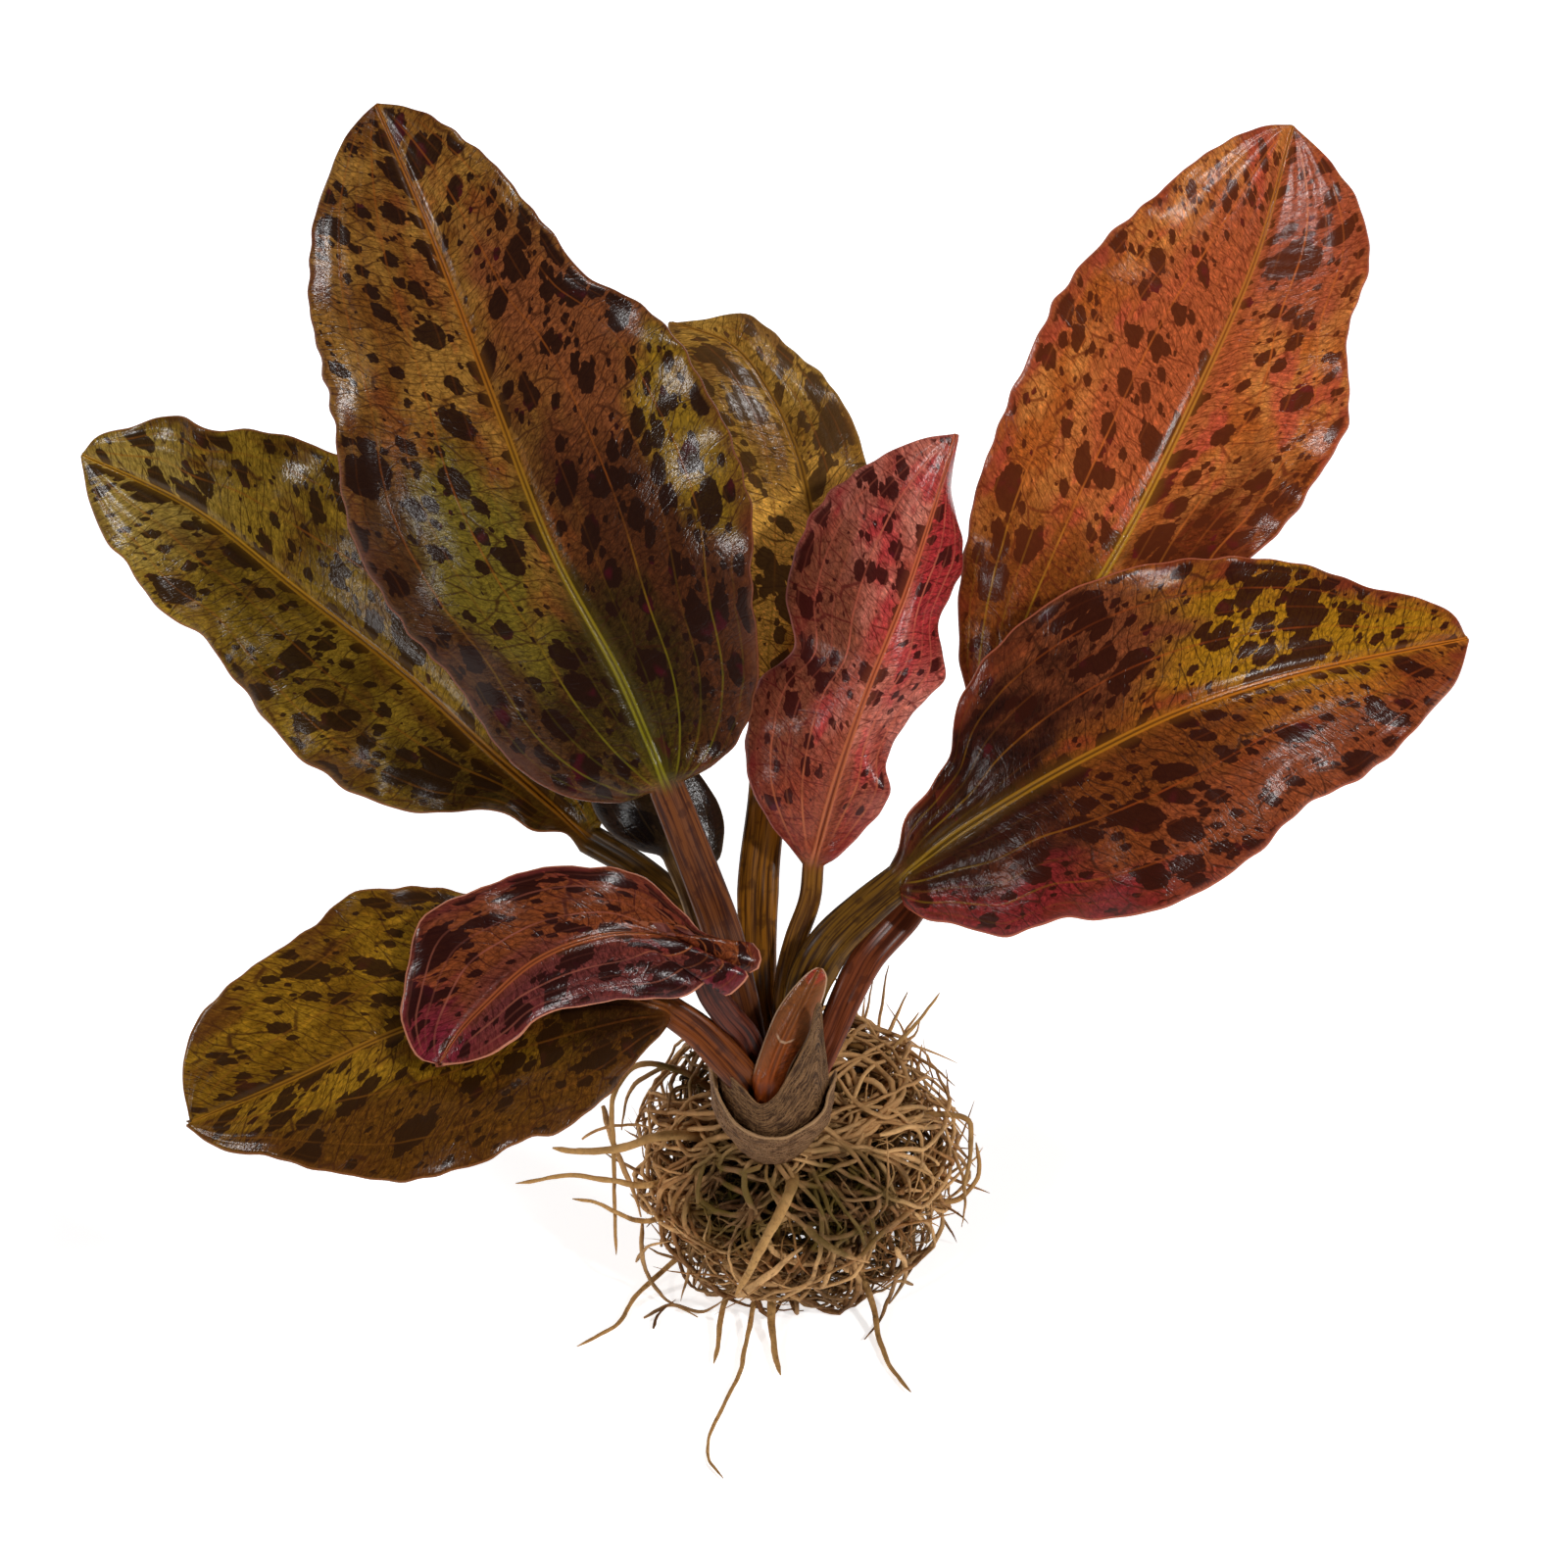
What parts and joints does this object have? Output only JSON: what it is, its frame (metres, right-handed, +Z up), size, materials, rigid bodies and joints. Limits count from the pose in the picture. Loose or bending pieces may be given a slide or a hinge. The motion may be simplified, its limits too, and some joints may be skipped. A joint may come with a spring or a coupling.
{
  "type": "amazon sword plant",
  "caption": "Bare-root rosette water plant: broad spotted red, orange and olive leaves on short stalks above a rounded tangle of thin roots",
  "frame": {"origin": "middle of the root ball's flat underside, where the plant rests on a surface", "axes": "+Z is up, away from the surface the root ball rests on; -Y is the side the plant is seen from, where the crown sits; +X is to the right seen from there"},
  "size_m": [0.2489, 0.1736, 0.1846],
  "materials": {
    "leaf_brown": "glossy, wet-looking leaf",
    "leaf_olive": "glossy, wet-looking leaf",
    "leaf_red": "satin leaf",
    "leaf_orange": "glossy leaf",
    "leaf_dark": "glossy leaf",
    "shoot": "satin young leaf",
    "crown": "rough, fibrous",
    "old_sheath": "dry, papery and fibrous",
    "root_tangle": "matte, fibrous",
    "root": "matte, fibrous"
  },
  "bodies": {
    "root": {"leaf_upper_left": "leaf_brown", "leaf_far_left": "leaf_olive", "leaf_back": "leaf_olive", "leaf_middle_red": "leaf_red", "leaf_upper_right": "leaf_orange", "leaf_right": "leaf_orange", "leaf_lower_left": "leaf_olive", "leaf_curled_red": "leaf_red", "leaf_small_dark": "leaf_dark", "young_shoot": "shoot", "crown": "crown", "old_sheath_inner": "old_sheath", "old_sheath_outer": "old_sheath", "root_ball": "root_tangle", "root_front_long": "root", "root_front_thick": "root", "root_front_short": "root", "root_front_left": "root", "root_front_right": "root", "root_back_left": "root", "root_back_right": "root", "root_left_thick": "root", "root_left_long": "root", "root_left_bent": "root", "root_left_hanging": "root", "root_right_upper": "root", "root_right_loop": "root", "root_right_side": "root", "root_back_hanging": "root", "root_pale": "root"}
  },
  "joints": []
}
